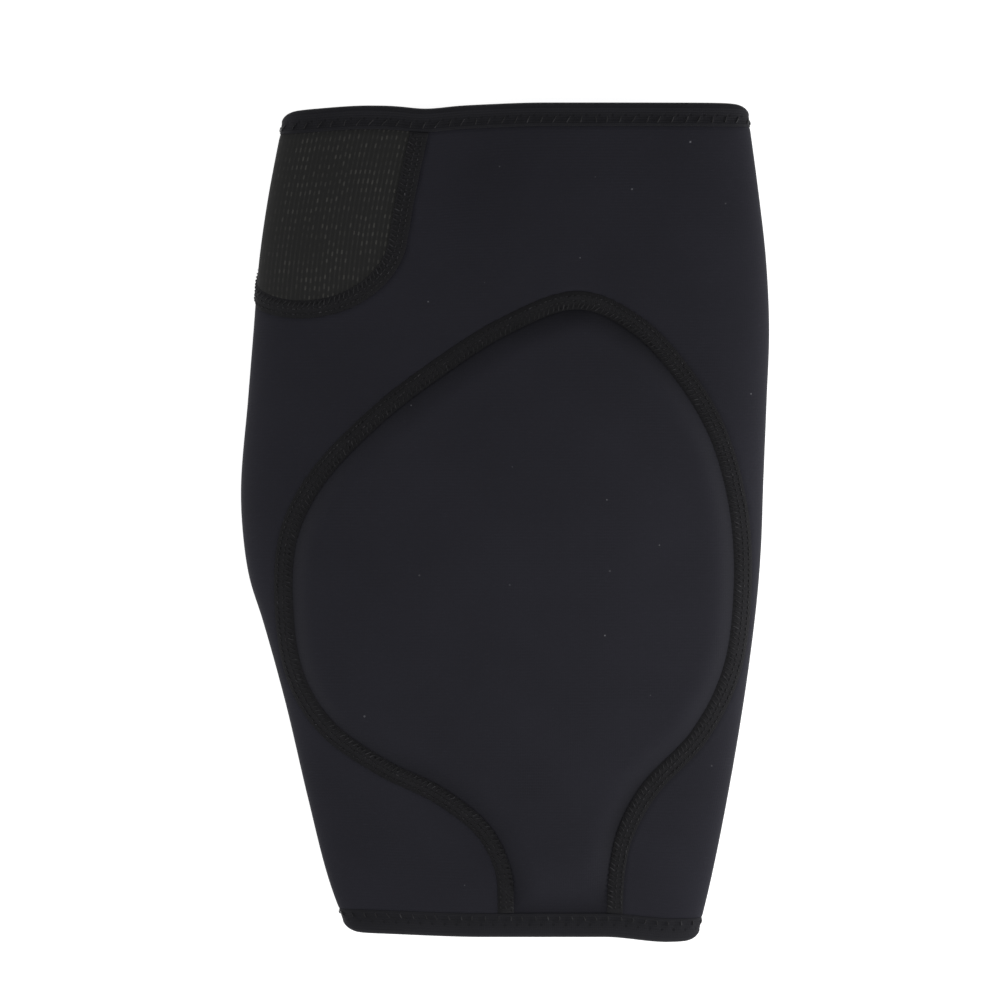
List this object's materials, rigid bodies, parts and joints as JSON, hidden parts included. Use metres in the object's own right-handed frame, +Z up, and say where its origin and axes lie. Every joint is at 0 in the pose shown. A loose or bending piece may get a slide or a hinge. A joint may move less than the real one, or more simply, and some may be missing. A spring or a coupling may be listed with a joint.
{
  "type": "padded knee sleeve",
  "caption": "Padded neoprene knee sleeve for wrestling, lying flat: an open tube with a shield-shaped knee pad sewn into its front, a mesh side patch and bound hems.",
  "frame": {"origin": "on the floor, under the middle of the outline seen from above", "axes": "+X to the right seen from above with the thigh end up, +Y along the leg towards the thigh opening, +Z up out of the knee pad"},
  "size_m": [0.189, 0.3, 0.037],
  "materials": {
    "neoprene": "black jersey-faced neoprene",
    "pad_face": "black jersey-faced neoprene over foam",
    "seam_thread": "black flat-lock thread",
    "mesh": "black warp-knit mesh",
    "binding": "black woven binding tape"
  },
  "bodies": {
    "root": {"sleeve": "neoprene", "knee_pad": "pad_face", "pad_seam": "seam_thread", "side_patch": "mesh", "patch_seam": "seam_thread", "top_hem": "binding", "bottom_hem": "binding"}
  },
  "joints": []
}
